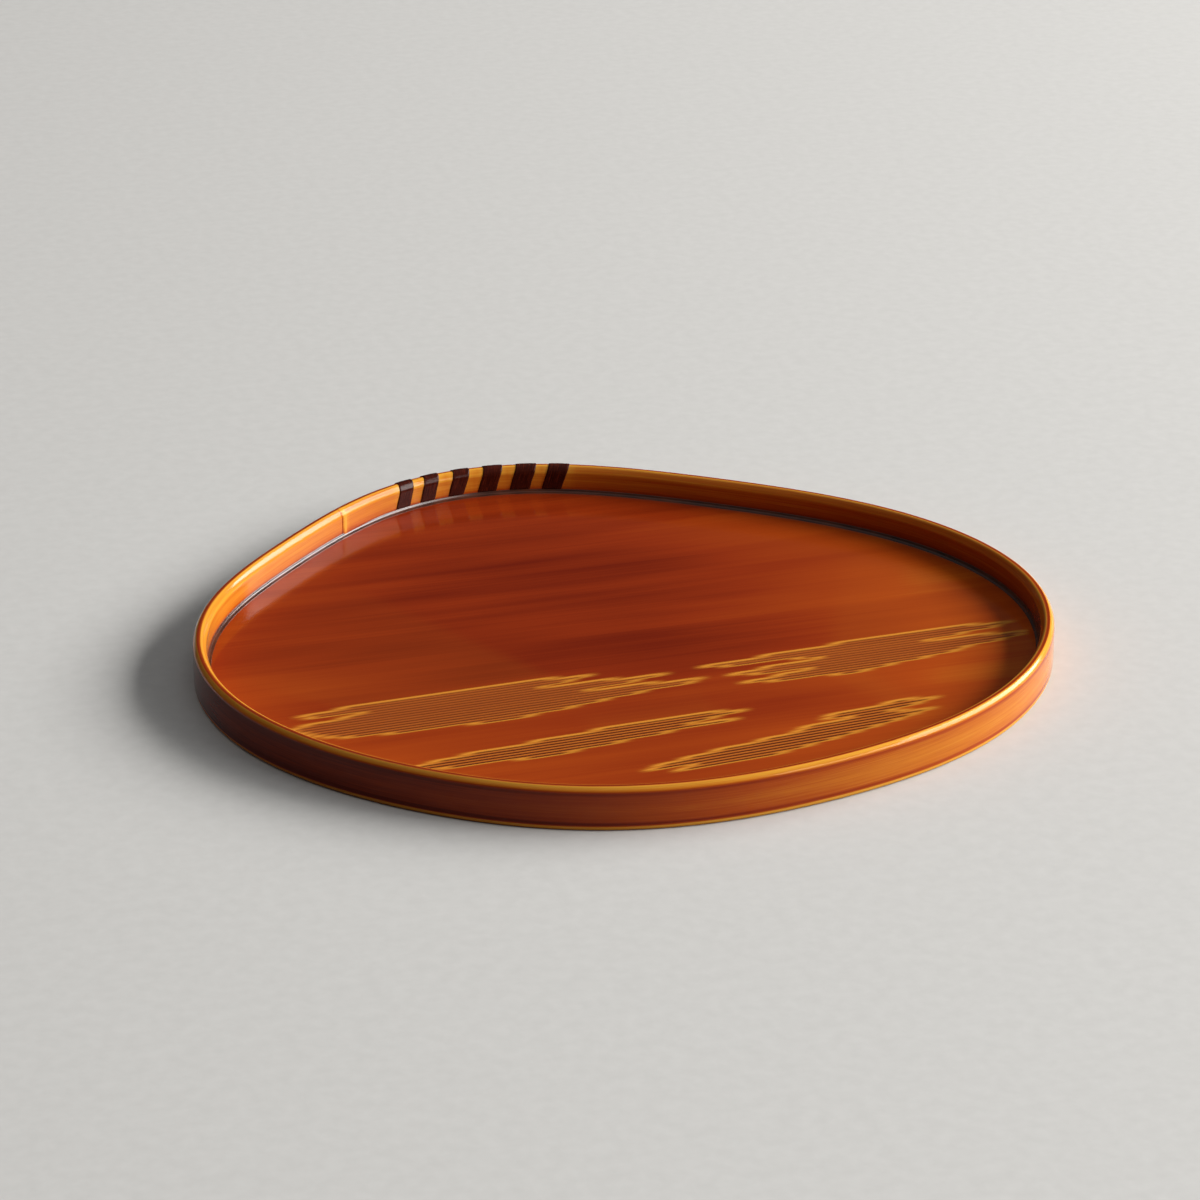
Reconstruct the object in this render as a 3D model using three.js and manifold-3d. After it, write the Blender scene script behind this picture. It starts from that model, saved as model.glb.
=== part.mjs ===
// A low tray of bent wood: a floor board inside a bent rim, whose lapped ends are stitched with bark.
// Millimetres, +Z up, standing on Z = 0. +X runs along the grain of the floor, and the lap is on the +Y side.

import * as THREE from 'three';
import { mergeVertices } from 'three/addons/utils/BufferGeometryUtils.js';
import Module from 'manifold-3d';

const wasm = await Module();
wasm.setup();

// Outline, seen from above: a circle drawn out by gentle swells into a rounded, lopsided triangle.
// Each swell is a wave of so many lobes round the circle, and one of its lobes points towards an angle.
const meanRadius = 170.3;
const outlineSwells = [
  { lobes: 2, swell: 0.8, towards: 6.5 },
  { lobes: 3, swell: 5.3, towards: -23 },
  { lobes: 4, swell: 3.6, towards: 0.5 },
  { lobes: 5, swell: 1.9, towards: 24 },
  { lobes: 6, swell: 0.5, towards: -29 },
  { lobes: 7, swell: 0.5, towards: -6 },
];
const facetLength = 7;

// Rim strip
const rimHeight = 17.5;
const rimThickness = 5.5;
const outerBevelWidth = 1.5;
const outerBevelDrop = 1.7;
const innerBevelWidth = 1.8;
const innerBevelDrop = 2.8;
const footBevel = 0.9;

// Floor board, which sits inside the rim a little above its foot
const boardThickness = 4.5;
const boardLift = 1;

// Bead of filler in the corner between the floor and the rim
const filletLeg = 1.4;
const filletEdge = 0.2;

// Bark straps, each a closed band through a slit in the rim
const strapCount = 6;
const strapWidth = 8.7;
const strapThickness = 0.6;
const strapProud = 0.4;
const strapPitch = 14.8;
const strapLean = 18;
const strapRowAngle = 92.5;

// Lap of the rim's two ends, which are scarfed down to thin blunt edges
const lapPastStraps = 39;
const lapEdge = 0.8;

// Glue line and fitting gap between neighbouring pieces
const fittingGap = 0.3;

const floorTop = boardLift + boardThickness;
const filletTop = floorTop + fittingGap + filletLeg;
const slitHeight = filletTop + fittingGap + strapProud;
const strapRowHalf = (strapCount - 1) * strapPitch / 2;
const lapReach = strapRowHalf + strapWidth / 2 + lapPastStraps;

const degrees = THREE.MathUtils.degToRad;

// Point of the outline at an angle, with the outward normal there and the outline's length per radian.
function outlineAt(angle) {
  let radius = meanRadius;
  let slope = 0;
  for (const { lobes, swell, towards } of outlineSwells) {
    const phase = lobes * (angle - degrees(towards));
    radius += swell * Math.cos(phase);
    slope -= swell * lobes * Math.sin(phase);
  }
  const out = new THREE.Vector2(Math.cos(angle), Math.sin(angle));
  const along = new THREE.Vector2(-out.y, out.x);
  const speed = Math.hypot(radius, slope);
  const normal = out.clone().multiplyScalar(radius).addScaledVector(along, -slope).divideScalar(speed);
  return { point: out.multiplyScalar(radius), normal, speed };
}

function insetPoint(angle, inset) {
  const { point, normal } = outlineAt(angle);
  return point.addScaledVector(normal, -inset);
}

// Angle reached by walking a distance along the outline, anticlockwise where it is positive.
function angleAlong(start, distance) {
  const paces = 100;
  let angle = start;
  for (let pace = 0; pace < paces; pace += 1) {
    angle += distance / paces / outlineAt(angle).speed;
  }
  return angle;
}

const facetCount = Math.round(2 * Math.PI * meanRadius / facetLength);
const facetAngles = Array.from({ length: facetCount }, (_, i) => 2 * Math.PI * i / facetCount);

// Sections hold points of inset from the outline and height, anticlockwise with the inset to the right.
function rimSection() {
  return [
    new THREE.Vector2(footBevel, 0),
    new THREE.Vector2(rimThickness, 0),
    new THREE.Vector2(rimThickness, rimHeight - innerBevelDrop),
    new THREE.Vector2(rimThickness - innerBevelWidth, rimHeight),
    new THREE.Vector2(outerBevelWidth, rimHeight),
    new THREE.Vector2(0, rimHeight - outerBevelDrop),
    new THREE.Vector2(0, footBevel),
  ];
}

// What a strap goes round: the rim's section above the slits.
function strappedSection() {
  const upper = rimSection().filter((corner) => corner.y > slitHeight);
  return [new THREE.Vector2(0, slitHeight), new THREE.Vector2(rimThickness, slitHeight), ...upper];
}

function filletSection() {
  const wall = rimThickness + fittingGap;
  const floor = floorTop + fittingGap;
  const cove = filletLeg - filletEdge;
  const section = [new THREE.Vector2(wall, floor), new THREE.Vector2(wall + filletLeg, floor)];
  const coveSteps = 3;
  for (let step = 0; step <= coveSteps; step += 1) {
    const turn = Math.PI / 2 * step / coveSteps;
    const inset = wall + filletLeg - cove * Math.sin(turn);
    const height = floor + filletLeg - cove * Math.cos(turn);
    section.push(new THREE.Vector2(inset, height));
  }
  section.push(new THREE.Vector2(wall, floor + filletLeg));
  return section;
}

// Grows a convex section by a distance on every side, or shrinks it where the distance is negative.
function grown(section, distance) {
  return section.map((corner, i) => {
    const before = section.at(i - 1);
    const after = section[(i + 1) % section.length];
    const sideIn = corner.clone().sub(before).normalize();
    const sideOut = after.clone().sub(corner).normalize();
    const normalIn = new THREE.Vector2(sideIn.y, -sideIn.x);
    const normalOut = new THREE.Vector2(sideOut.y, -sideOut.x);
    const share = distance / (1 + normalIn.dot(normalOut));
    return corner.clone().addScaledVector(normalIn.add(normalOut), share);
  });
}

// Ring of a section carried once round the outline.
function ringGeometry(section) {
  const positions = [];
  const indices = [];
  facetAngles.forEach((angle, i) => {
    const ahead = (i + 1) % facetCount;
    section.forEach((corner, j) => {
      const above = (j + 1) % section.length;
      const point = insetPoint(angle, corner.x);
      positions.push(point.x, point.y, corner.y);
      const here = i * section.length + j;
      const hereUp = i * section.length + above;
      const next = ahead * section.length + j;
      const nextUp = ahead * section.length + above;
      indices.push(here, nextUp, next, here, hereUp, nextUp);
    });
  });
  const geometry = new THREE.BufferGeometry();
  geometry.setAttribute('position', new THREE.Float32BufferAttribute(positions, 3));
  geometry.setIndex(indices);
  return geometry;
}

function solidOf(geometry) {
  const bare = geometry.clone();
  bare.deleteAttribute('normal');
  bare.deleteAttribute('uv');
  const merged = mergeVertices(bare);
  const vertProperties = new Float32Array(merged.attributes.position.array);
  const triVerts = new Uint32Array(merged.index.array);
  return new wasm.Manifold(new wasm.Mesh({ numProp: 3, vertProperties, triVerts }));
}

function geometryOf(solid) {
  const { vertProperties, triVerts } = solid.getMesh();
  const geometry = new THREE.BufferGeometry();
  geometry.setAttribute('position', new THREE.BufferAttribute(vertProperties, 3));
  geometry.setIndex(new THREE.BufferAttribute(triVerts, 1));
  return geometry;
}

const strapRow = degrees(strapRowAngle);
const strapAngles = Array.from({ length: strapCount }, (_, i) =>
  angleAlong(strapRow, strapRowHalf - i * strapPitch));

// Leaning slab across the rim that picks out one strap's stretch of a ring.
function strapSlab(angle, width) {
  const middle = (slitHeight + rimHeight) / 2;
  const { normal } = outlineAt(angle);
  const centre = insetPoint(angle, rimThickness / 2);
  const slab = new THREE.BoxGeometry(width, 3 * rimThickness, 3 * rimHeight);
  slab.rotateY(degrees(strapLean));
  slab.rotateZ(Math.atan2(normal.y, normal.x) - Math.PI / 2);
  slab.translate(centre.x, centre.y, middle);
  return solidOf(slab);
}

// Hollow ring between a section grown by two distances.
function ringBetween(section, inner, outer) {
  const inside = solidOf(ringGeometry(grown(section, inner)));
  return solidOf(ringGeometry(grown(section, outer))).subtract(inside);
}

// Thin slanting cut through the rim, from its inner face at one end of the lap to its outer face at the other.
function lapCut() {
  const half = fittingGap / 2;
  const steps = Math.ceil(2 * lapReach / facetLength);
  const beyond = rimThickness;
  const place = (walked, inset) => insetPoint(angleAlong(strapRow, lapReach - walked), inset);
  const slant = (side) => Array.from({ length: steps + 1 }, (_, i) => {
    const share = i / steps;
    const depth = THREE.MathUtils.lerp(rimThickness - lapEdge, lapEdge, share);
    return place(2 * lapReach * share + side * half, depth + side * half);
  });
  const outline = [
    place(-half, rimThickness + beyond),
    ...slant(-1),
    place(2 * lapReach - half, -beyond),
    place(2 * lapReach + half, -beyond),
    ...slant(1).reverse(),
    place(half, rimThickness + beyond),
  ];
  const cut = new THREE.ExtrudeGeometry(new THREE.Shape(outline), { depth: 3 * rimHeight, bevelEnabled: false });
  cut.translate(0, 0, -rimHeight);
  return solidOf(cut);
}

function rimStrip() {
  let rim = solidOf(ringGeometry(rimSection())).subtract(lapCut());
  const inner = strapProud - strapThickness - fittingGap;
  const outer = strapProud + fittingGap;
  const channel = ringBetween(strappedSection(), inner, outer);
  for (const angle of strapAngles) {
    rim = rim.subtract(channel.intersect(strapSlab(angle, strapWidth + 2 * fittingGap)));
  }
  return geometryOf(rim);
}

function barkStrap(angle) {
  const band = ringBetween(strappedSection(), strapProud - strapThickness, strapProud);
  return geometryOf(band.intersect(strapSlab(angle, strapWidth)));
}

function baseBoard() {
  const edge = facetAngles.map((angle) => insetPoint(angle, rimThickness + fittingGap));
  return new THREE.ExtrudeGeometry(new THREE.Shape(edge), { depth: boardThickness, bevelEnabled: false });
}

const lacqueredBoard = { color: 0x8e3517, roughness: 0.22, metalness: 0 };
const lacqueredRim = { color: 0x9a4417, roughness: 0.2, metalness: 0 };
const lacqueredBark = { color: 0x2a0c0a, roughness: 0.25, metalness: 0 };
const darkFiller = { color: 0x3c1408, roughness: 0.3, metalness: 0 };

function piece(name, geometry, finish) {
  const mesh = new THREE.Mesh(geometry, new THREE.MeshStandardMaterial(finish));
  mesh.name = name;
  return mesh;
}

const tray = new THREE.Group();

const board = piece('base_board', baseBoard(), lacqueredBoard);
board.position.z = boardLift;
tray.add(board);

tray.add(piece('rim_strip', rimStrip(), lacqueredRim));
tray.add(piece('corner_fillet', ringGeometry(filletSection()), darkFiller));

strapAngles.forEach((angle, i) => {
  tray.add(piece(`bark_strap_${i + 1}`, barkStrap(angle), lacqueredBark));
});

// The origin is the middle of the whole tray, on the surface that it stands on.
const middle = new THREE.Box3().setFromObject(tray).getCenter(new THREE.Vector3());
tray.position.set(-middle.x, -middle.y, 0);

export default tray;
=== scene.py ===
# A low tray of bent wood under clear amber lacquer, on a plain pale floor.
# Metres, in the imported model's frame: +X along the grain of the floor board, +Y towards the lap, +Z up.

import bisect
import math
import random

import bmesh
import bpy
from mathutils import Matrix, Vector
from mathutils.geometry import delaunay_2d_cdt


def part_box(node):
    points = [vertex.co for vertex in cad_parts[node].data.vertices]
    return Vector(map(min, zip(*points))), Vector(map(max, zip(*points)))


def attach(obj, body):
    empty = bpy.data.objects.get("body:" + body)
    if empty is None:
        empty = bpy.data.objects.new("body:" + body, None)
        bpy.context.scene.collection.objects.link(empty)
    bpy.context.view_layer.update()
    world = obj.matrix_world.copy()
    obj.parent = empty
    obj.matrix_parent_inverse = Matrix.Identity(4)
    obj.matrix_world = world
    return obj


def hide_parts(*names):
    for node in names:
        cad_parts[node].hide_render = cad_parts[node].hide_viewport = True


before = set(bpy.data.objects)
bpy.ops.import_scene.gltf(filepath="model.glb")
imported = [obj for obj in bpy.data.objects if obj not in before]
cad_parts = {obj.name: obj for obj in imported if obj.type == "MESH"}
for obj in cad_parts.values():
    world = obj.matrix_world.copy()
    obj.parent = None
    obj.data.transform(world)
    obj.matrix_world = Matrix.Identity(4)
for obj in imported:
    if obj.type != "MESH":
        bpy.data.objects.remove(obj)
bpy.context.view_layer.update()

MM = 0.001

# Camera
VIEW_TARGET = Vector((0.00914, 0.04843, 0))
VIEW_DISTANCE = 1.7686
VIEW_TURN = math.radians(18)
VIEW_PITCH = math.radians(22)
LENS = 127.5
SENSOR = 36

# Outline, seen from above: (lobes, swell, degrees that one lobe points towards) on a mean circle
MEAN_RADIUS = 170.3 * MM
OUTLINE_SWELLS = (
    (2, 0.8 * MM, 6.5),
    (3, 5.3 * MM, -23),
    (4, 3.6 * MM, 0.5),
    (5, 1.9 * MM, 24),
    (6, 0.5 * MM, -29),
    (7, 0.5 * MM, -6),
)
STRAP_ROW_ANGLE = math.radians(92.5)

# Rim strip
RIM_THICKNESS = 5.5 * MM
OUTER_BEVEL_WIDTH = 1.5 * MM
OUTER_BEVEL_DROP = 1.7 * MM
INNER_BEVEL_WIDTH = 1.8 * MM
INNER_BEVEL_DROP = 2.8 * MM
FOOT_BEVEL = 0.9 * MM
STATION_STEP = 2 * MM

# Fullness of the inner bevel: a corner out from the inner face and down from the top
FULLNESS_WIDTH = 0.8 * MM
FULLNESS_DROP = 1.32 * MM

# Roundings of the rim's section, up the inner face, over the top and down to the foot
WALL_ROUNDING = 0.7 * MM
FULLNESS_ROUNDING = 0.8 * MM
INNER_ARRIS_ROUNDING = 0.8 * MM
OUTER_ARRIS_ROUNDING = 0.6 * MM
OUTER_WALL_ROUNDING = 0.8 * MM
FOOT_ROUNDING = 0.35 * MM
INNER_FOOT_ROUNDING = 0.25 * MM
ROUNDING_SEGMENTS = 5

# Heights at which the section begins and ends, both on the inner face behind the floor board
SECTION_START = 3.2 * MM
SECTION_END = 3.0 * MM

# Lap of the rim's two ends
LAP_REACH = 80.35 * MM
LAP_EDGE = 0.8 * MM
LAP_CREASE = 0.14 * MM
LAP_NOSE = 0.32 * MM
LAP_NOSE_LENGTH = 2.6 * MM
LAP_FADE = 34 * MM
CREASE_BEFORE = 0.45 * MM
CREASE_AFTER = 0.35 * MM
NO_LAP = 1000 * MM

# Extra copies of the section about each end of the lap, in millimetres past it
LAP_STATIONS = (-1.2, -0.5, -0.25, -0.1, 0, 0.1, 0.2, 0.35, 0.55, 0.8, 1.1, 1.5, 2.0, 2.6, 3.2)
LAP_CLEARANCE = 0.4 * MM

# Bark straps
STRAP_PITCH = 14.8 * MM
STRAP_PROUD = 0.38 * MM
STRAP_THICKNESS = 0.5 * MM
STRAP_LEAN = math.radians(18)
SLIT_HEIGHT = 7.9 * MM
STRAP_FOOT = 6.4 * MM
STRAP_CELLS_ACROSS = 14
STRAP_CELLS_ALONG = 90

# Domed face of a strap: its fall towards the sides, then the tuck of each side and of each end
DOME_FALL = 0.22
SIDE_TUCK = 0.3 * MM
SIDE_TUCK_FROM = 0.93
END_TUCK = 1.3 * MM
END_TUCK_REACH = 1.1 * MM

# Wavering of a strap's sides: size in millimetres, waves in radians per metre, and how they begin
WAVER_SIZE = (0.04, 0.12)
WAVER_RATE = (350, 900)
WAVER_START = (0, 6)
WAVERS_PER_SIDE = 2
STRAP_SEED = 40
BARK_APART = 0.05

# How far each strap was laid from its even place, and its own width
STRAPS = (
    (0.3 * MM, 8.3 * MM),
    (1.2 * MM, 8.0 * MM),
    (0.8 * MM, 8.1 * MM),
    (0.4 * MM, 9.0 * MM),
    (-0.2 * MM, 9.5 * MM),
    (-0.3 * MM, 9.3 * MM),
)

# Bead of filler in the corner between the floor and the rim
BEAD_LEG = 1.62 * MM
BEAD_EDGE = 0.15 * MM
BEAD_STEPS = 8
BEAD_INTO_RIM = 0.25 * MM
BEAD_INTO_FLOOR = 0.2 * MM

# Floor board
BOARD_CHAMFER = 0.7 * MM
BOARD_CLEARANCE = 0.03 * MM
MERGE_DISTANCE = 1e-7

# Carving in the floor: rows of grooves cut with a comb
GROOVE_PITCH = 2.25 * MM
GROOVE_DEPTH = 0.3 * MM
GROOVE_TAPER = 12 * MM
GROOVE_STEP = 1.2 * MM
LINES_PER_GROOVE = 8
CARVING_MARGIN = 2 * MM
CARVING_TRACE = 0.004

# Groove's width at its very tip, and where the finish passes from one groove to the next, in pitches
TIP_WIDTH = 0.3
PASSAGE_FROM = 0.4
PASSAGE_SPAN = 0.2

# Worn yellow edge of the carving: its spread beside a groove and at a tip, in pitches, and its strength
SIDE_SPREAD = 0.28
TIP_SPREAD = 0.38
TIP_STRENGTH = 0.9
CUT_GAIN = 1.6

# Lacquer gathered in the lap's crease, darker there also as painted shade, and worn from the lap's nose and
# beside the straps
CREASE_POOL_AND_SHADE = 0.28
CREASE_REACH = 0.3 * MM
NOSE_WEAR = 0.45
NOSE_WEAR_PLACE = 2.0 * MM
NOSE_WEAR_REACH = 1.0 * MM
STRAP_WEAR = 0.2
STRAP_WEAR_REACH = 2.6 * MM
STRAP_WEAR_ON_WALL = 0.25
BEVEL_FROM = 12.5 * MM
BEVEL_RISE = 3 * MM

rim_low, rim_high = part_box("rim_strip")
board_low, board_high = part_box("base_board")
RIM_HEIGHT = rim_high.z
LEAN_HEIGHT = (SLIT_HEIGHT + RIM_HEIGHT) / 2
FLOOR_TOP = board_high.z
FLOOR_UNDER = board_low.z


def make_camera():
    data = bpy.data.cameras.new("camera")
    data.lens = LENS
    data.sensor_width = SENSOR
    data.dof.use_dof = False
    camera = bpy.data.objects.new("camera", data)
    bpy.context.scene.collection.objects.link(camera)
    flat = math.cos(VIEW_PITCH)
    gaze = Vector((math.sin(VIEW_TURN) * flat, math.cos(VIEW_TURN) * flat, -math.sin(VIEW_PITCH)))
    camera.location = VIEW_TARGET - gaze * VIEW_DISTANCE
    camera.rotation_mode = "QUATERNION"
    camera.rotation_quaternion = gaze.to_track_quat("-Z", "Y")
    bpy.context.scene.camera = camera


make_camera()


# Outline and places along it

def outline_at(angle):
    """Point of the outer face at an angle, the outward direction there and the length per radian."""
    radius = MEAN_RADIUS
    slope = 0
    for lobes, swell, towards in OUTLINE_SWELLS:
        phase = lobes * (angle - math.radians(towards))
        radius += swell * math.cos(phase)
        slope -= swell * lobes * math.sin(phase)
    out = Vector((math.cos(angle), math.sin(angle), 0))
    along = Vector((-math.sin(angle), math.cos(angle), 0))
    return out * radius, (out * radius - along * slope).normalized(), math.hypot(radius, slope)


PACES = 3600
pace_angles = [STRAP_ROW_ANGLE + math.tau * (i / PACES - 0.5) for i in range(PACES + 1)]
pace_points = [outline_at(angle)[0] for angle in pace_angles]
pace_lengths = [0.0]
for here, ahead in zip(pace_points, pace_points[1:]):
    pace_lengths.append(pace_lengths[-1] + (ahead - here).length)
row_length = pace_lengths[PACES // 2]
pace_lengths = [length - row_length for length in pace_lengths]
outline_middle = Vector((
    (min(p.x for p in pace_points) + max(p.x for p in pace_points)) / 2,
    (min(p.y for p in pace_points) + max(p.y for p in pace_points)) / 2,
    0,
))
rim_middle = (rim_low + rim_high) / 2
OUTLINE_SHIFT = Vector((rim_middle.x, rim_middle.y, 0)) - outline_middle


def angle_after(distance):
    """Angle at a distance along the outline from the middle of the strap row, anticlockwise."""
    pace = min(max(bisect.bisect(pace_lengths, distance), 1), PACES)
    before, after = pace_lengths[pace - 1], pace_lengths[pace]
    share = (distance - before) / (after - before)
    return pace_angles[pace - 1] + share * (pace_angles[pace] - pace_angles[pace - 1])


def place(distance, inset, height):
    """Point at a distance along the outline, so far in from the outer face and so high."""
    point, out, _ = outline_at(angle_after(distance))
    return point + OUTLINE_SHIFT - out * inset + Vector((0, 0, height))


def smooth(share):
    share = min(max(share, 0), 1)
    return share * share * (3 - 2 * share)


# Sections

def rounded_section(corners):
    """Closed section of (inset, height) points, from corners that each have their own rounding."""
    bm = bmesh.new()
    verts = [bm.verts.new((inset, 0, height)) for inset, height, _ in corners]
    bm.faces.new(verts)
    for vert, (_, _, rounding) in zip(verts, corners):
        if rounding:
            bmesh.ops.bevel(
                bm,
                geom=[vert],
                offset=rounding,
                offset_type="OFFSET",
                segments=ROUNDING_SEGMENTS,
                profile=0.5,
                affect="VERTICES",
                material=-1,
            )
    bm.faces.ensure_lookup_table()
    section = [(vert.co.x, vert.co.z) for vert in bm.faces[0].verts]
    bm.free()
    first = corners[0][:2]
    start = min(range(len(section)), key=lambda i: math.dist(section[i], first))
    section = section[start:] + section[:start]
    if math.dist(section[-1], corners[-1][:2]) > math.dist(section[1], corners[-1][:2]):
        section = section[:1] + section[:0:-1]
    return section


def path_lengths(section):
    lengths = [0.0]
    for here, ahead in zip(section, section[1:]):
        lengths.append(lengths[-1] + math.dist(here, ahead))
    return lengths


RIM_CORNERS = (
    (RIM_THICKNESS, SECTION_START, 0),
    (RIM_THICKNESS, RIM_HEIGHT - INNER_BEVEL_DROP, WALL_ROUNDING),
    (RIM_THICKNESS - FULLNESS_WIDTH, RIM_HEIGHT - FULLNESS_DROP, FULLNESS_ROUNDING),
    (RIM_THICKNESS - INNER_BEVEL_WIDTH, RIM_HEIGHT, INNER_ARRIS_ROUNDING),
    (OUTER_BEVEL_WIDTH, RIM_HEIGHT, OUTER_ARRIS_ROUNDING),
    (0, RIM_HEIGHT - OUTER_BEVEL_DROP, OUTER_WALL_ROUNDING),
    (0, FOOT_BEVEL, FOOT_ROUNDING),
    (FOOT_BEVEL, 0, FOOT_ROUNDING),
    (RIM_THICKNESS, 0, INNER_FOOT_ROUNDING),
    (RIM_THICKNESS, SECTION_END, 0),
)
rim_section = rounded_section(RIM_CORNERS)
rim_path = path_lengths(rim_section)
FACING_SPAN = 0.3 * MM


def path_of(inset, height):
    """Length along the rim's section of the point nearest to an inset and a height."""
    wanted = Vector((inset, height))
    best_gap, best_length = None, 0
    for i in range(len(rim_section) - 1):
        here = Vector(rim_section[i])
        side = Vector(rim_section[i + 1]) - here
        share = min(max((wanted - here).dot(side) / side.length_squared, 0), 1)
        gap = (here + side * share - wanted).length
        if best_gap is None or gap < best_gap:
            best_gap, best_length = gap, rim_path[i] + side.length * share
    return best_length


def section_at(length):
    """Point of the rim's section at a length along it."""
    i = min(max(bisect.bisect(rim_path, length), 1), len(rim_path) - 1)
    share = (length - rim_path[i - 1]) / (rim_path[i] - rim_path[i - 1])
    here, ahead = Vector(rim_section[i - 1]), Vector(rim_section[i])
    return here.lerp(ahead, share)


def section_facing(length):
    """Way that the surface of the rim's section faces at a length along it."""
    side = section_at(length + FACING_SPAN) - section_at(length - FACING_SPAN)
    return Vector((side.y, -side.x)).normalized()


# Meshes

def add_piece(name, bm, material, node):
    """Makes the finished mesh an object on the body, in place of its CAD node and with its material."""
    for face in bm.faces:
        face.smooth = True
    mesh = bpy.data.meshes.new(name)
    bm.to_mesh(mesh)
    bm.free()
    mesh.materials.append(material)
    piece = bpy.data.objects.new(name, mesh)
    bpy.context.scene.collection.objects.link(piece)
    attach(piece, "root")
    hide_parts(node)
    return piece


def weigh_normals(piece):
    """Lets the wide faces keep their own shading, so that only the roundings turn the light."""
    weighted = piece.modifiers.new("weighted_normals", "WEIGHTED_NORMAL")
    weighted.mode = "FACE_AREA"
    weighted.keep_sharp = True


def hoop(section, distances, bend):
    """Carries a closed section once round the outline, with one copy at each distance."""
    bm = bmesh.new()
    corner_layer = bm.verts.layers.int.new("corner")
    path_layer = bm.verts.layers.float.new("path")
    verts = []
    for corner, ((inset, height), length) in enumerate(zip(section, path_lengths(section))):
        vert = bm.verts.new((MEAN_RADIUS - inset, 0, height))
        vert[corner_layer] = corner
        vert[path_layer] = length
        verts.append(vert)
    edges = [bm.edges.new((verts[i - 1], verts[i])) for i in range(len(verts))]
    bmesh.ops.spin(
        bm,
        geom=verts + edges,
        cent=(0, 0, 0),
        axis=(0, 0, 1),
        angle=math.tau,
        steps=len(distances),
        use_merge=True,
    )
    scarf_layer = bm.verts.layers.float.new("scarf")
    pool_and_shade_layer = bm.verts.layers.float.new("pool_and_shade")
    for vert in bm.verts:
        turn = math.atan2(vert.co.y, vert.co.x) % math.tau
        distance = distances[round(turn / math.tau * len(distances)) % len(distances)]
        inset, height = section[vert[corner_layer]]
        vert[scarf_layer] = inset - scarf_depth(distance)
        vert[pool_and_shade_layer] = pooling_and_shade(distance, inset, height)
        vert.co = place(distance, inset + bend(distance, inset), height)
    bmesh.ops.recalc_face_normals(bm, faces=bm.faces)
    return bm


def scarf_depth(distance):
    """How far in from the outer face the glue line of the lap lies."""
    share = (distance + LAP_REACH) / (2 * LAP_REACH)
    if share < 0 or share > 1:
        return NO_LAP
    return LAP_EDGE + share * (RIM_THICKNESS - 2 * LAP_EDGE)


def lap_swell(past):
    """How far one end of the lap stands off the face beneath, at a distance past its very end."""
    if past < 0:
        return -LAP_CREASE * smooth(1 + past / CREASE_BEFORE)
    nose = smooth(past / LAP_NOSE_LENGTH) ** 0.5
    fade = 1 - smooth((past - LAP_NOSE_LENGTH) / LAP_FADE)
    crease = -LAP_CREASE * (1 - smooth(past / CREASE_AFTER))
    return crease + LAP_NOSE * nose * fade


def lap_bend(distance, inset):
    """Change of inset that the lap makes: its inner end on the inner face, its outer end on the outer."""
    inner_share = smooth((inset - RIM_THICKNESS + INNER_BEVEL_WIDTH) / INNER_BEVEL_WIDTH)
    outer_share = smooth((OUTER_BEVEL_WIDTH - inset) / OUTER_BEVEL_WIDTH)
    inner = lap_swell(LAP_REACH - distance) * inner_share
    outer = lap_swell(distance + LAP_REACH) * outer_share
    return inner - outer


def strap_place(number):
    """Distance of a strap's middle from the middle of the row."""
    return STRAP_PITCH * ((len(STRAPS) - 1) / 2 - number) + STRAPS[number][0]


def leaning(height):
    return math.tan(STRAP_LEAN) * (height - LEAN_HEIGHT)


def pooling_and_shade(distance, inset, height):
    """Lacquer that gathers in the crease of the lap, darker there also as painted shade, and is thin on its
    nose and beside the straps.
    """
    past = LAP_REACH - distance if inset > RIM_THICKNESS / 2 else distance + LAP_REACH
    # Darker in the lap's crease: pooled lacquer and painted shade
    crease = CREASE_POOL_AND_SHADE * math.exp(-(past / CREASE_REACH) ** 2)
    nose = NOSE_WEAR * math.exp(-((past - NOSE_WEAR_PLACE) / NOSE_WEAR_REACH) ** 2)
    beside = 0
    for number, (_, width) in enumerate(STRAPS):
        from_middle = abs(distance + leaning(height) - strap_place(number))
        off = from_middle - width / math.cos(STRAP_LEAN) / 2
        beside = max(beside, math.exp(-(max(off, 0) / STRAP_WEAR_REACH) ** 2))
    on_bevel = smooth((height - BEVEL_FROM) / BEVEL_RISE)
    wear = STRAP_WEAR * (STRAP_WEAR_ON_WALL + (1 - STRAP_WEAR_ON_WALL) * on_bevel)
    return crease - nose - wear * beside


def stations():
    """Distances at which the hoops have a copy of their section, closer together at the ends of the lap."""
    start, end = pace_lengths[0], pace_lengths[-1]
    count = round((end - start) / STATION_STEP)
    marks = [start + (end - start) * i / count for i in range(count)]
    for end_mark, towards in ((LAP_REACH, -1), (-LAP_REACH, 1)):
        fine = [end_mark + towards * past * MM for past in LAP_STATIONS]
        low = min(fine) - LAP_CLEARANCE
        high = max(fine) + LAP_CLEARANCE
        marks = [mark for mark in marks if not low < mark < high]
        marks += fine
    return sorted(marks)


# Materials

def add_node(tree, kind, sockets=None, **settings):
    node = tree.nodes.new(kind)
    for name, value in settings.items():
        setattr(node, name, value)
    for name, value in (sockets or {}).items():
        if isinstance(value, bpy.types.NodeSocket):
            tree.links.new(value, node.inputs[name])
        else:
            node.inputs[name].default_value = value
    return node


def calc(tree, operation, *values):
    node = tree.nodes.new("ShaderNodeMath")
    node.operation = operation
    for i, value in enumerate(values):
        if isinstance(value, bpy.types.NodeSocket):
            tree.links.new(value, node.inputs[i])
        else:
            node.inputs[i].default_value = value
    return node.outputs[0]


def remap(tree, value, low, high, to_low, to_high):
    node = add_node(
        tree,
        "ShaderNodeMapRange",
        {"Value": value, "From Min": low, "From Max": high, "To Min": to_low, "To Max": to_high},
    )
    return node.outputs["Result"]


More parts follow.
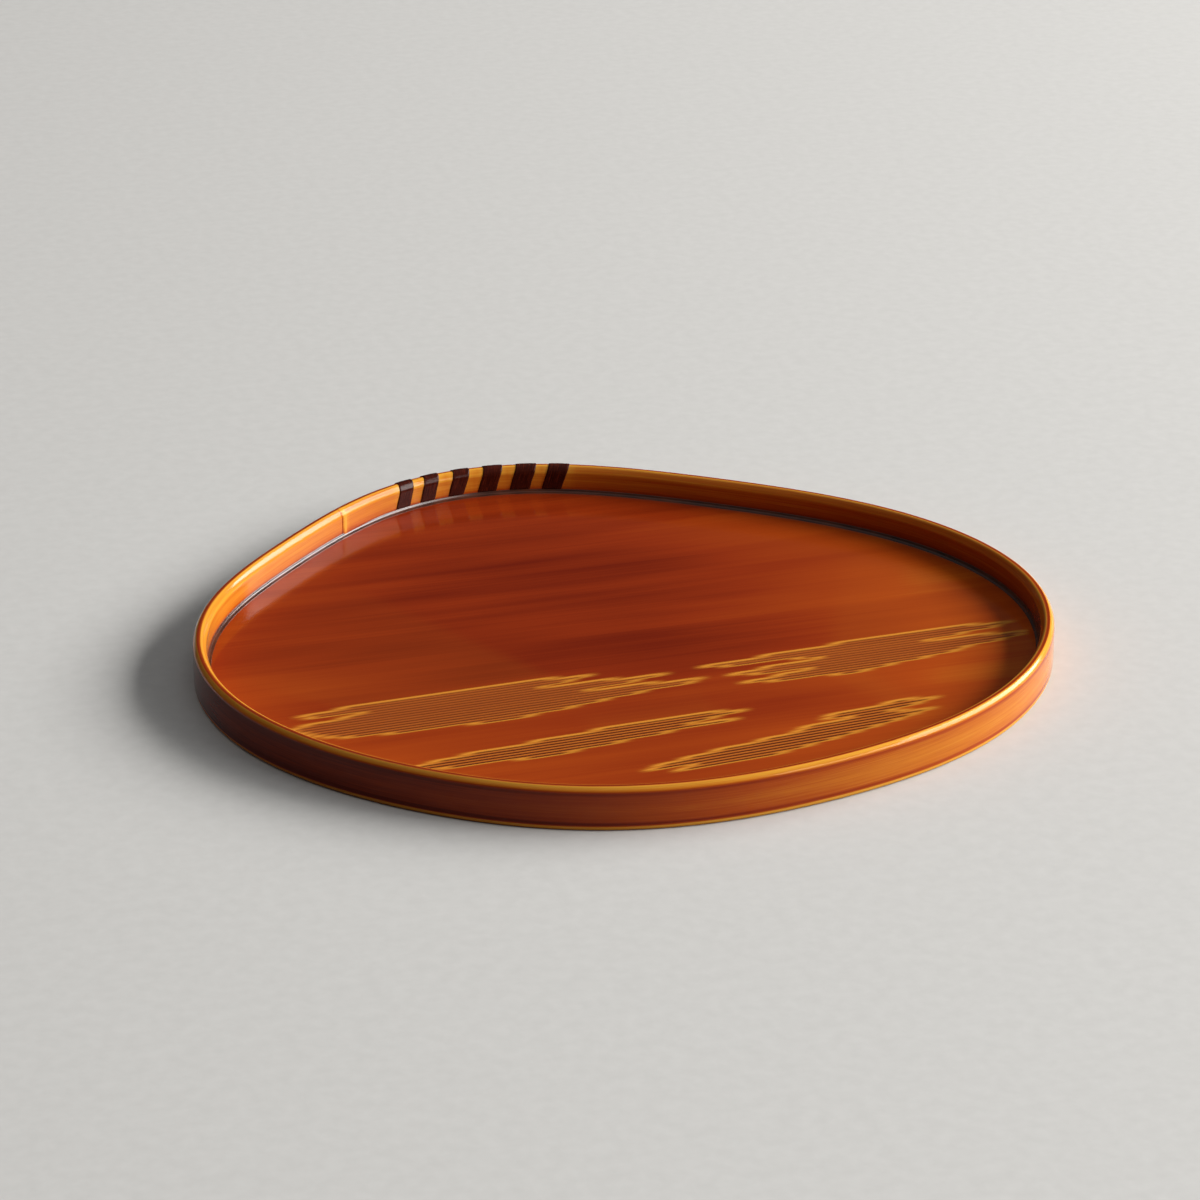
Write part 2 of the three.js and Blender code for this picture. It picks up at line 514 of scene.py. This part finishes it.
def attribute(tree, name):
    return add_node(tree, "ShaderNodeAttribute", attribute_name=name).outputs["Fac"]


def object_parts(tree):
    where = add_node(tree, "ShaderNodeTexCoord").outputs["Object"]
    return add_node(tree, "ShaderNodeSeparateXYZ", {"Vector": where}).outputs


def streaks(tree, x, y, z, scales, detail=3, roughness=0.55):
    """Noise drawn out by a scale for each direction."""
    parts = {}
    for name, value, scale in zip("XYZ", (x, y, z), scales):
        parts[name] = calc(tree, "MULTIPLY", value, scale)
    vector = add_node(tree, "ShaderNodeCombineXYZ", parts).outputs[0]
    noise = add_node(
        tree,
        "ShaderNodeTexNoise",
        {"Vector": vector, "Scale": 1.0, "Detail": detail, "Roughness": roughness},
    )
    return noise.outputs[0]


def ramp(tree, value, stops):
    node = tree.nodes.new("ShaderNodeValToRGB")
    tree.links.new(value, node.inputs[0])
    elements = node.color_ramp.elements
    while len(elements) < len(stops):
        elements.new(0.5)
    for element, (position, colour) in zip(elements, stops):
        element.position = position
        element.color = (*colour, 1) if isinstance(colour, tuple) else (colour, colour, colour, 1)
    return node.outputs[0]


def swayed(tree, noise, share, base):
    """Base value, moved up and down by a share of a noise."""
    return calc(tree, "MULTIPLY_ADD", calc(tree, "SUBTRACT", noise, 0.5), share, base)


# Lacquer from bare wood to a deep pool: thin and yellow, then orange, then dark red
LACQUER_DEPTHS = (
    (0.0, (0.66, 0.30, 0.030)),
    (0.3, (0.54, 0.155, 0.013)),
    (0.55, (0.38, 0.058, 0.006)),
    (0.8, (0.25, 0.026, 0.004)),
    (1.0, (0.12, 0.008, 0.002)),
)

# Depth of the lacquer round the rim's section: (inset in millimetres, height in millimetres, depth)
RIM_LACQUER = (
    (5.5, 3.2, 0.8),
    (5.5, 7.0, 0.74),
    (5.5, 8.4, 0.49),
    (5.5, 11.0, 0.36),
    (5.5, 13.4, 0.4),
    (5.5, 14.3, 0.34),
    (5.4, 15.0, 0.22),
    (4.9, 15.8, 0.3),
    (4.2, 16.8, 0.28),
    (3.65, 17.4, 0.08),
    (3.25, 17.5, 0.04),
    (2.9, 17.5, 0.6),
    (2.4, 17.5, 0.84),
    (1.85, 17.5, 0.76),
    (1.6, 17.5, 0.14),
    # Down the outer bevel the depth grows from 0 to 0.3: partly deeper lacquer, partly painted shade on the
    # bevel's lower part
    (1.25, 17.25, 0.0),
    (0.9, 16.85, 0.07),
    (0.45, 16.3, 0.17),
    (0.12, 15.9, 0.3),
    (0.0, 15.5, 0.56),
    (0.0, 14.9, 0.72),
    (0.0, 13.5, 0.48),
    (0.0, 8.0, 0.36),
    (0.0, 3.8, 0.46),
    (0.0, 2.7, 0.76),
    (0.0, 2.1, 0.6),
    (0.0, 1.7, 0.06),
    (0.0, 1.0, 0.0),
    (0.9, 0.0, 0.06),
    (1.8, 0.0, 0.6),
    (5.3, 0.0, 0.7),
)


# Inner layer of the lacquer, whose mirror image is broken and amber
GLOW_IOR = 1.3
GLOW_COLOUR = (1.0, 0.62, 0.36, 1)
WAVE_HEIGHT = 0.5 * MM


def shaded(name):
    material = bpy.data.materials.new(name)
    material.use_nodes = True
    tree = material.node_tree
    shader = tree.nodes["Principled BSDF"]
    return material, tree, shader


def gloss(
    tree,
    shader,
    colour,
    wander,
    roughness,
    body,
    glow=0.03,
    coat=0.09,
    ior=1.4,
    waviness=0.05,
):
    """Clear lacquer over the colour: an amber glow from within, and a smooth coat, slightly wavy."""
    tree.links.new(colour, shader.inputs["Base Color"])
    shader.inputs["Roughness"].default_value = roughness
    shader.inputs["IOR"].default_value = GLOW_IOR
    shader.inputs["Specular IOR Level"].default_value = glow
    shader.inputs["Specular Tint"].default_value = GLOW_COLOUR
    shader.inputs["Coat Weight"].default_value = body
    shader.inputs["Coat Roughness"].default_value = coat
    shader.inputs["Coat IOR"].default_value = ior
    bump = add_node(
        tree,
        "ShaderNodeBump",
        {"Height": wander, "Strength": waviness, "Distance": WAVE_HEIGHT},
    )
    tree.links.new(bump.outputs[0], shader.inputs["Normal"])
    tree.links.new(bump.outputs[0], shader.inputs["Coat Normal"])


# Rim's noises, by their scales along X, Y and the section, with their shares of the depth
RIM_BROAD = (14, 14, 260)
RIM_GRAIN = (22, 22, 2600)
RIM_FLECK = (60, 60, 900)
RIM_WANDER = 0.5 * MM
RIM_GRAIN_SHARE = 0.34
RIM_FLECK_SHARE = 0.16

# Lacquer in the glue line of the lap: its depth, and the distances over which it fades
SEAM_DEPTH = 0.14
SEAM_CORE = 0.04 * MM
SEAM_REACH = 0.18 * MM

# Painted light and shade: lacquer colour deeper towards +X inside the rim and towards -X outside, on the
# faces turned away from the window, and thinner on the faces turned to it, in depth per metre from the
# middle
PAINTED_SIDE_LIGHT_AND_SHADE = 0.9
CROWN_REACH = 3 * MM

# Painted shade: deeper lacquer colour on the outer face at the -X side, turned away from the window
PAINTED_SHADE_DEPTH = 0.38
PAINTED_SHADE_FROM = -0.15
PAINTED_SHADE_TO = 0.05
PAINTED_SHADE_BELOW_BEVEL = 1.5 * MM
PAINTED_SHADE_FOOT = 2.6 * MM
PAINTED_SHADE_FOOT_RISE = 0.8 * MM
PAINTED_SHADE_FOOT_SHARE = 0.35


def lacquered_rim():
    material, tree, shader = shaded("lacquered_rim")
    x, y, _ = object_parts(tree)
    path = attribute(tree, "path")
    broad = streaks(tree, x, y, path, RIM_BROAD, detail=2)
    wander = calc(tree, "MULTIPLY", calc(tree, "SUBTRACT", broad, 0.5), RIM_WANDER)
    moved = calc(tree, "MULTIPLY", calc(tree, "ADD", path, wander), 1 / rim_path[-1])
    stops = [(path_of(i * MM, h * MM) / rim_path[-1], depth) for i, h, depth in RIM_LACQUER]
    depth = ramp(tree, moved, stops)
    grain = streaks(tree, x, y, path, RIM_GRAIN)
    fleck = streaks(tree, x, y, path, RIM_FLECK)
    grained = swayed(tree, grain, RIM_GRAIN_SHARE, depth)
    flecked = swayed(tree, fleck, RIM_FLECK_SHARE, grained)
    from_seam = calc(tree, "ABSOLUTE", attribute(tree, "scarf"))
    seam = remap(tree, from_seam, SEAM_CORE, SEAM_REACH, SEAM_DEPTH, 0)
    glued = calc(tree, "ADD", flecked, seam)
    crown = path_of((RIM_THICKNESS + OUTER_BEVEL_WIDTH - INNER_BEVEL_WIDTH) / 2, RIM_HEIGHT)
    inwards = remap(tree, path, crown - CROWN_REACH, crown + CROWN_REACH, 1.0, -1.0)
    # Painted light and shade: thinner lacquer colour on the faces turned to the window, deeper on the faces
    # turned away from it
    side_lit_and_shaded = calc(tree, "MULTIPLY_ADD", calc(tree, "MULTIPLY", x, inwards), PAINTED_SIDE_LIGHT_AND_SHADE, glued)
    # Painted shade on the outer face towards -X: full from below the outer bevel down to near the foot, and
    # a share of it at the foot
    wall_top = path_of(0, RIM_HEIGHT - OUTER_BEVEL_DROP)
    wall_foot = path_of(0, PAINTED_SHADE_FOOT)
    below_bevel = remap(tree, path, wall_top, wall_top + PAINTED_SHADE_BELOW_BEVEL, 0.0, 1.0)
    above_foot = remap(tree, path, wall_foot, wall_foot + PAINTED_SHADE_FOOT_RISE, 1.0, PAINTED_SHADE_FOOT_SHARE)
    shade_on_wall = calc(tree, "MULTIPLY", below_bevel, above_foot)
    painted_shade = remap(tree, x, PAINTED_SHADE_FROM, PAINTED_SHADE_TO, PAINTED_SHADE_DEPTH, 0.0)
    shaded_depth = calc(tree, "MULTIPLY_ADD", painted_shade, shade_on_wall, side_lit_and_shaded)
    colour = ramp(tree, calc(tree, "ADD", shaded_depth, attribute(tree, "pool_and_shade")), LACQUER_DEPTHS)
    waves = calc(tree, "ADD", broad, calc(tree, "MULTIPLY", grain, 0.3))
    gloss(tree, shader, colour, waves, roughness=0.12, glow=0.14, body=0.32)
    return material


# Floor's noises, by their scales along X, Y and Z, with their shares of the depth
FLOOR_CLOUDS = (5, 22, 1)
FLOOR_STREAKS = (5, 110, 1)
FLOOR_GRAIN = (9, 650, 1)
FLOOR_CLOUD_SHARE = 0.5
FLOOR_STREAK_SHARE = 0.22
FLOOR_GRAIN_SHARE = 0.12

# Deep pool in the floor: its middle and half axes in metres, its depth and how much of it goes by its edge
POOL_X = -0.03
POOL_Y = 0.05
POOL_HALF_X = 0.17
POOL_HALF_Y = 0.23
POOL_DEPTH = 0.9
POOL_FALL = 0.34

# Colours of the carving from between the grooves to their bottoms, and of its worn edge
CARVED_TONES = (
    (0.0, (0.44, 0.125, 0.013)),
    (0.45, (0.29, 0.062, 0.010)),
    (1.0, (0.09, 0.017, 0.004)),
)
CARVED_STREAK_SHARE = 0.3
WORN_EDGE = (0.66, 0.27, 0.028, 1)
WORN_EDGE_SHARE = 0.9

# Contrast of the grooves, stronger towards the near side: places in metres and the contrast at each
CONTRAST_NEAR_Y = -0.095
CONTRAST_FAR_Y = -0.055
CONTRAST_NEAR = 1.7
CONTRAST_FAR = 0.55


def lacquered_floor():
    material, tree, shader = shaded("lacquered_floor")
    x, y, z = object_parts(tree)
    clouds = streaks(tree, x, y, z, FLOOR_CLOUDS, detail=2)
    streak = streaks(tree, x, y, z, FLOOR_STREAKS, detail=3)
    grain = streaks(tree, x, y, z, FLOOR_GRAIN, detail=3)
    off_x = calc(tree, "MULTIPLY", calc(tree, "SUBTRACT", x, POOL_X), 1 / POOL_HALF_X)
    off_y = calc(tree, "MULTIPLY", calc(tree, "SUBTRACT", y, POOL_Y), 1 / POOL_HALF_Y)
    spread = calc(tree, "ADD", calc(tree, "POWER", off_x, 2.0), calc(tree, "POWER", off_y, 2.0))
    pooled = calc(tree, "MULTIPLY_ADD", calc(tree, "MINIMUM", spread, 1.0), -POOL_FALL, POOL_DEPTH)
    clouded = swayed(tree, clouds, FLOOR_CLOUD_SHARE, pooled)
    streaked = swayed(tree, streak, FLOOR_STREAK_SHARE, clouded)
    plain = ramp(tree, swayed(tree, grain, FLOOR_GRAIN_SHARE, streaked), LACQUER_DEPTHS)
    groove = attribute(tree, "groove")
    cut = attribute(tree, "cut")
    edge = attribute(tree, "cut_edge")
    contrast = remap(tree, y, CONTRAST_NEAR_Y, CONTRAST_FAR_Y, CONTRAST_NEAR, CONTRAST_FAR)
    lined = swayed(tree, groove, contrast, 0.5)
    tint = ramp(tree, swayed(tree, streak, CARVED_STREAK_SHARE, lined), CARVED_TONES)
    carved = add_node(tree, "ShaderNodeMix", data_type="RGBA")
    tree.links.new(cut, carved.inputs[0])
    tree.links.new(plain, carved.inputs[6])
    tree.links.new(tint, carved.inputs[7])
    edged = add_node(tree, "ShaderNodeMix", data_type="RGBA")
    tree.links.new(calc(tree, "MULTIPLY", edge, WORN_EDGE_SHARE), edged.inputs[0])
    tree.links.new(carved.outputs[2], edged.inputs[6])
    edged.inputs[7].default_value = WORN_EDGE
    waves = calc(tree, "ADD", calc(tree, "MULTIPLY", clouds, 3.0), calc(tree, "MULTIPLY", grain, 0.15))
    gloss(tree, shader, edged.outputs[2], waves, roughness=0.12, glow=0.1, body=0.25)
    return material


FILLER_TONES = (
    (0.3, (0.03, 0.007, 0.003)),
    (0.7, (0.10, 0.022, 0.006)),
)
BARK_TONES = (
    (0.35, (0.013, 0.002, 0.002)),
    (0.55, (0.042, 0.006, 0.003)),
    (0.75, (0.13, 0.018, 0.006)),
)
BARK_LINES = (3500, 160, 1)
BARK_LENTICELS = (500, 2600, 1)
BARK_LINE_SHARE = 0.87
BARK_LENTICEL_SHARE = 0.18


def dark_filler():
    material, tree, shader = shaded("dark_filler")
    x, y, z = object_parts(tree)
    mottle = streaks(tree, x, y, z, (90, 90, 400), detail=3)
    colour = ramp(tree, mottle, FILLER_TONES)
    gloss(tree, shader, colour, mottle, roughness=0.3, coat=0.27, body=1.0, ior=1.5, waviness=0.02)
    return material


def lacquered_bark():
    material, tree, shader = shaded("lacquered_bark")
    along = attribute(tree, "strap_along")
    across = attribute(tree, "strap_across")
    lines = streaks(tree, across, along, across, BARK_LINES, detail=3)
    lenticels = streaks(tree, across, along, across, BARK_LENTICELS, detail=2)
    lined = calc(tree, "MULTIPLY", lines, BARK_LINE_SHARE)
    depth = calc(tree, "MULTIPLY_ADD", lenticels, BARK_LENTICEL_SHARE, lined)
    colour = ramp(tree, depth, BARK_TONES)
    gloss(tree, shader, colour, depth, roughness=0.3, coat=0.12, body=0.3, waviness=0.1)
    return material


rim_finish = lacquered_rim()
floor_finish = lacquered_floor()
filler_finish = dark_filler()
bark_finish = lacquered_bark()


# Rim and bead

def make_rim():
    bm = hoop(rim_section, stations(), lap_bend)
    piece = add_piece("bent_rim", bm, rim_finish, "rim_strip")
    weigh_normals(piece)


def make_bead():
    wall = RIM_THICKNESS - BEAD_INTO_RIM
    floor = FLOOR_TOP - BEAD_INTO_FLOOR
    foot = RIM_THICKNESS + BEAD_LEG
    crown = FLOOR_TOP + BEAD_LEG
    section = [(wall, floor), (foot, floor), (foot, FLOOR_TOP)]
    cove = BEAD_LEG - BEAD_EDGE
    for step in range(1, BEAD_STEPS):
        turn = math.pi / 2 * step / BEAD_STEPS
        section.append((foot - cove * math.sin(turn), crown - cove * math.cos(turn)))
    section += [(RIM_THICKNESS, crown), (wall, crown)]
    bm = hoop(section, stations(), lambda distance, inset: 0)
    piece = add_piece("filler_bead", bm, filler_finish, "corner_fillet")
    weigh_normals(piece)


# Straps

def make_strap(number):
    middle = strap_place(number)
    low = path_of(RIM_THICKNESS, STRAP_FOOT)
    high = path_of(0, SLIT_HEIGHT)
    half_path = (high - low) / 2
    half_width = STRAPS[number][1] / math.cos(STRAP_LEAN) / 2
    chance = random.Random(STRAP_SEED + number)
    waves = []
    for _ in range(2 * WAVERS_PER_SIDE):
        size = chance.uniform(*WAVER_SIZE) * MM
        rate = chance.uniform(*WAVER_RATE)
        waves.append((size, rate, chance.uniform(*WAVER_START)))
    bm = bmesh.new()
    along_layer = bm.verts.layers.float.new("strap_along")
    across_layer = bm.verts.layers.float.new("strap_across")
    bmesh.ops.create_grid(bm, x_segments=STRAP_CELLS_ACROSS, y_segments=STRAP_CELLS_ALONG, size=1)
    for vert in bm.verts:
        share = math.sin(vert.co.x * math.pi / 2)
        length = low + half_path * (1 + vert.co.y)
        side = waves[:WAVERS_PER_SIDE] if share < 0 else waves[WAVERS_PER_SIDE:]
        waver = sum(size * math.sin(length * rate + start) for size, rate, start in side)
        from_end = half_path * (1 - abs(vert.co.y))
        side_tuck = smooth((abs(share) - SIDE_TUCK_FROM) / (1 - SIDE_TUCK_FROM))
        end_tuck = 1 - smooth(from_end / END_TUCK_REACH)
        domed = STRAP_PROUD * (1 - DOME_FALL * share ** 2)
        proud = domed - (STRAP_PROUD + SIDE_TUCK) * side_tuck - END_TUCK * end_tuck
        bare = section_at(length)
        point = bare + section_facing(length) * proud
        across = half_width * share + waver
        distance = middle - across - leaning(bare.y)
        vert[along_layer] = length + number * BARK_APART
        vert[across_layer] = across
        vert.co = place(distance, point.x + lap_bend(distance, point.x), point.y)
    bmesh.ops.recalc_face_normals(bm, faces=bm.faces)
    upwards = sum(face.normal.z * face.calc_area() for face in bm.faces)
    if upwards < 0:
        bmesh.ops.reverse_faces(bm, faces=bm.faces)
    name = f"strap_{number + 1}"
    piece = add_piece(name, bm, bark_finish, f"bark_strap_{number + 1}")
    wall = piece.modifiers.new("thickness", "SOLIDIFY")
    wall.thickness = STRAP_THICKNESS
    wall.offset = -1


# Floor board

# Each band has the place of its first row and its heading in degrees, and then each row's start and end.
# Places, starts and ends are in millimetres.
BANDS = (
    {
        "from": (-62, -38),
        "heading": 2.2,
        "rows": (
            (-70, 30), (-86, 44), (-84, 36), (-64, 24), (-72, 52), (-88, 72), (-94, 60), (-94, 40),
            (-91, 66), (-89, 84), (-86, 80), (-82, 58), (-76, 42), (-60, 28), (-26, 10),
        ),
    },
    {
        "from": (-50, -91),
        "heading": 2.4,
        "rows": ((6, 70), (-20, 78), (-48, 66), (-62, 56), (-72, 72), (-74, 44), (-60, 24), (-30, 4)),
    },
    {
        "from": (90, -38),
        "heading": 1.6,
        "rows": (
            (-16, 58), (-48, 72), (-74, 66), (-66, 50), (-36, 34), (-28, 60), (-52, 74), (-66, 72),
            (-58, 62), (-36, 46), (-50, 40), (-64, 26), (-54, 10), (-28, -2),
        ),
    },
    {
        "from": (38, -104),
        "heading": 4.6,
        "rows": (
            (34, 58), (8, 66), (6, 58), (14, 46), (-6, 50), (-10, 60), (-26, 52),
            (-46, 44), (-60, 34), (-72, 24), (-76, 14), (-60, 2), (-66, -10),
        ),
    },
)


def inside_bead(point):
    """How far in from the bead a point of the floor is."""
    from_middle = point - OUTLINE_SHIFT
    edge, _, speed = outline_at(math.atan2(from_middle.y, from_middle.x))
    return (edge.length - from_middle.xy.length) * edge.length / speed - RIM_THICKNESS - BEAD_LEG


def presence(rows, row, u):
    """How fully a row is cut at a place along it, from 0 to 1."""
    if row < 0 or row >= len(rows):
        return 0
    start, end = rows[row]
    return smooth((u - start * MM) / GROOVE_TAPER) * smooth((end * MM - u) / GROOVE_TAPER)


def carving_at(rows, u, v, room):
    """Groove, cut and edge shares at a place in a band: along its rows, and down from its first."""
    line = v / GROOVE_PITCH
    above = math.floor(line)
    share = line - above
    upper, lower = presence(rows, above, u) * room, presence(rows, above + 1, u) * room
    nearer = upper if share < 0.5 else lower
    off = min(share, 1 - share)
    width = TIP_WIDTH + (1 - TIP_WIDTH) * nearer
    groove = nearer * math.cos(math.pi * min(off / width, 0.5)) ** 2
    passage = smooth((share - PASSAGE_FROM) / PASSAGE_SPAN)
    cut = (upper * (1 - passage) + lower * passage) * smooth(nearer * CUT_GAIN)
    side = abs(upper - lower) * math.exp(-((share - 0.5) / SIDE_SPREAD) ** 2)
    tip = 4 * nearer * (1 - nearer) * math.exp(-(off / (TIP_SPREAD * width)) ** 2)
    return groove, cut, min(side + TIP_STRENGTH * tip, 1)


def cut_band(bm, layers, band):
    """Adds the carved surface of a band, and returns the edges that bound it."""
    rows = band["rows"]
    u_low = min(start for start, _ in rows) * MM - GROOVE_STEP
    u_high = max(end for _, end in rows) * MM + GROOVE_STEP
    columns = math.ceil((u_high - u_low) / GROOVE_STEP)
    lines = (len(rows) + 1) * LINES_PER_GROOVE
    made = bmesh.ops.create_grid(bm, x_segments=columns, y_segments=lines, size=1)
    heading = math.radians(band["heading"])
    ahead = Vector((math.cos(heading), math.sin(heading), 0))
    down = Vector((math.sin(heading), -math.cos(heading), 0))
    first = Vector((band["from"][0] * MM, band["from"][1] * MM, FLOOR_TOP))
    touched = set()
    for vert in made["verts"]:
        u = u_low + (vert.co.x + 1) / 2 * (u_high - u_low)
        v = ((1 - vert.co.y) / 2 * (len(rows) + 1) - 1) * GROOVE_PITCH
        level = first + ahead * u + down * v
        room = smooth(inside_bead(level) / CARVING_MARGIN - 0.5)
        groove, cut, edge = carving_at(rows, u, v, room)
        for layer, value in zip(layers, (groove, cut, edge)):
            vert[layer] = value
        if max(groove, cut, edge) > CARVING_TRACE:
            touched.add(vert)
        vert.co = level - Vector((0, 0, GROOVE_DEPTH * groove))
    faces = list(dict.fromkeys(face for vert in made["verts"] for face in vert.link_faces))
    bare = [face for face in faces if touched.isdisjoint(face.verts)]
    bmesh.ops.delete(bm, geom=bare, context="FACES")
    return [edge for face in faces if face.is_valid for edge in face.edges if edge.is_boundary]


def closed_loops(edges):
    """Lists of the verts that follow each other round the edges."""
    left = dict.fromkeys(edges)
    loops = []
    while left:
        edge = next(iter(left))
        first = vert = edge.verts[0]
        loop = []
        while edge:
            del left[edge]
            loop.append(vert)
            vert = edge.other_vert(vert)
            edge = None if vert is first else next(other for other in vert.link_edges if other in left)
        loops.append(loop)
    return loops


def fill_flat(bm, edges):
    """Fills the flat floor between its edge and the carved bands, with nothing over the bands."""
    loops = closed_loops(edges)
    verts = list(dict.fromkeys(vert for loop in loops for vert in loop))
    order = {vert: i for i, vert in enumerate(verts)}
    rounds = [[order[vert] for vert in loop] for loop in loops]
    flat = [vert.co.xy for vert in verts]
    inside_with_holes = 2
    made = delaunay_2d_cdt(flat, [], rounds, inside_with_holes, MERGE_DISTANCE)
    _, _, triangles, sources, _, _ = made
    for triangle in triangles:
        bm.faces.new([verts[sources[corner][0]] for corner in triangle])


def make_floor():
    bm = bmesh.new()
    layers = [bm.verts.layers.float.new(name) for name in ("groove", "cut", "cut_edge")]
    bounds = []
    for band in BANDS:
        bounds += cut_band(bm, layers, band)
    marks = stations()
    ring = bmesh.ops.create_circle(bm, cap_ends=False, radius=1, segments=len(marks))["verts"]
    for vert in ring:
        turn = math.atan2(-vert.co.x, vert.co.y) % math.tau
        mark = marks[round(turn / math.tau * len(marks)) % len(marks)]
        vert.co = place(mark, RIM_THICKNESS + BOARD_CLEARANCE, FLOOR_TOP)
    rim_edges = list(dict.fromkeys(edge for vert in ring for edge in vert.link_edges))
    fill_flat(bm, list(dict.fromkeys(bounds)) + rim_edges)
    for edge in rim_edges:
        edge.smooth = False
    under = rim_edges
    side_drop = FLOOR_TOP - FLOOR_UNDER - BOARD_CHAMFER
    for drop, inset in ((side_drop, 0), (BOARD_CHAMFER, BOARD_CHAMFER)):
        made = bmesh.ops.extrude_edge_only(bm, edges=under)["geom"]
        verts = [item for item in made if isinstance(item, bmesh.types.BMVert)]
        under = [item for item in made if isinstance(item, bmesh.types.BMEdge)]
        for vert in verts:
            inwards = Vector((-vert.co.x, -vert.co.y, 0)).normalized()
            vert.co += inwards * inset - Vector((0, 0, drop))
        for edge in under:
            edge.smooth = False
    bmesh.ops.contextual_create(bm, geom=under)
    bmesh.ops.recalc_face_normals(bm, faces=bm.faces)
    add_piece("carved_floor", bm, floor_finish, "base_board")


make_rim()
make_bead()
for strap_number in range(len(STRAPS)):
    make_strap(strap_number)
make_floor()


# Studio floor, lamps and surroundings

STUDIO_FLOOR_HALF = 30
STUDIO_FLOOR_SPECKLE = (160, 160, 160)
STUDIO_FLOOR_TONES = (
    (0.3, (0.55, 0.545, 0.53)),
    (0.7, (0.58, 0.575, 0.56)),
)
STUDIO_FLOOR_BOUNCE = (0.33, 0.325, 0.32, 1)

# Light from the surroundings: its strength below and overhead, and the heights between which it grows
SKY_BELOW = 0.04
SKY_OVERHEAD = 0.42
SKY_FROM = 0.5
SKY_TO = 0.95


def make_studio_floor():
    """Pale floor that shows its own colour to the eye and in the gloss, and throws back less light."""
    bm = bmesh.new()
    bmesh.ops.create_grid(bm, x_segments=1, y_segments=1, size=STUDIO_FLOOR_HALF)
    mesh = bpy.data.meshes.new("studio_floor")
    bm.to_mesh(mesh)
    bm.free()
    material, tree, shader = shaded("pale_floor")
    x, y, z = object_parts(tree)
    speckle = streaks(tree, x, y, z, STUDIO_FLOOR_SPECKLE, detail=2)
    pale = ramp(tree, speckle, STUDIO_FLOOR_TONES)
    path = add_node(tree, "ShaderNodeLightPath").outputs
    glance = calc(tree, "MAXIMUM", path["Is Glossy Ray"], path["Is Transmission Ray"])
    seen = calc(tree, "MAXIMUM", path["Is Camera Ray"], glance)
    shown = add_node(tree, "ShaderNodeMix", data_type="RGBA")
    tree.links.new(seen, shown.inputs[0])
    shown.inputs[6].default_value = STUDIO_FLOOR_BOUNCE
    tree.links.new(pale, shown.inputs[7])
    tree.links.new(shown.outputs[2], shader.inputs["Base Color"])
    shader.inputs["Roughness"].default_value = 0.8
    shader.inputs["Specular IOR Level"].default_value = 0.2
    mesh.materials.append(material)
    floor = bpy.data.objects.new("studio_floor", mesh)
    bpy.context.scene.collection.objects.link(floor)


def make_lamp(name, right, back, up, width, height, radiance, colour, faces_left=False):
    """Area lamp, placed in metres to the right, back and up from the tray as the camera sees it."""
    data = bpy.data.lights.new(name, "AREA")
    data.shape = "RECTANGLE"
    data.size = width
    data.size_y = height
    data.energy = radiance * math.pi * width * height
    data.color = colour
    lamp = bpy.data.objects.new(name, data)
    bpy.context.scene.collection.objects.link(lamp)
    rightwards = Vector((math.cos(VIEW_TURN), -math.sin(VIEW_TURN), 0))
    backwards = Vector((math.sin(VIEW_TURN), math.cos(VIEW_TURN), 0))
    lamp.location = rightwards * right + backwards * back + Vector((0, 0, up))
    gaze = -rightwards if faces_left else -lamp.location
    lamp.rotation_mode = "QUATERNION"
    lamp.rotation_quaternion = gaze.to_track_quat("-Z", "Y")


def make_surroundings():
    world = bpy.data.worlds.new("surroundings")
    world.use_nodes = True
    tree = world.node_tree
    background = tree.nodes["Background"]
    where = add_node(tree, "ShaderNodeTexCoord").outputs["Generated"]
    up = add_node(tree, "ShaderNodeSeparateXYZ", {"Vector": where}).outputs["Z"]
    background.inputs["Color"].default_value = (1, 1, 1, 1)
    strength = remap(tree, up, SKY_FROM, SKY_TO, SKY_BELOW, SKY_OVERHEAD)
    tree.links.new(strength, background.inputs["Strength"])
    bpy.context.scene.world = world


make_studio_floor()
make_lamp(
    "window",
    right=4.5,
    back=1.6,
    up=2.3,
    width=5.8,
    height=2.4,
    radiance=15.8,
    colour=(1.0, 0.985, 0.965),
    faces_left=True,
)
make_lamp(
    "near_side",
    right=4.0,
    back=-2.1,
    up=2.1,
    width=2.2,
    height=1.6,
    radiance=6.8,
    colour=(1.0, 0.99, 0.97),
)
make_surroundings()
bpy.context.scene.view_settings.view_transform = "Standard"
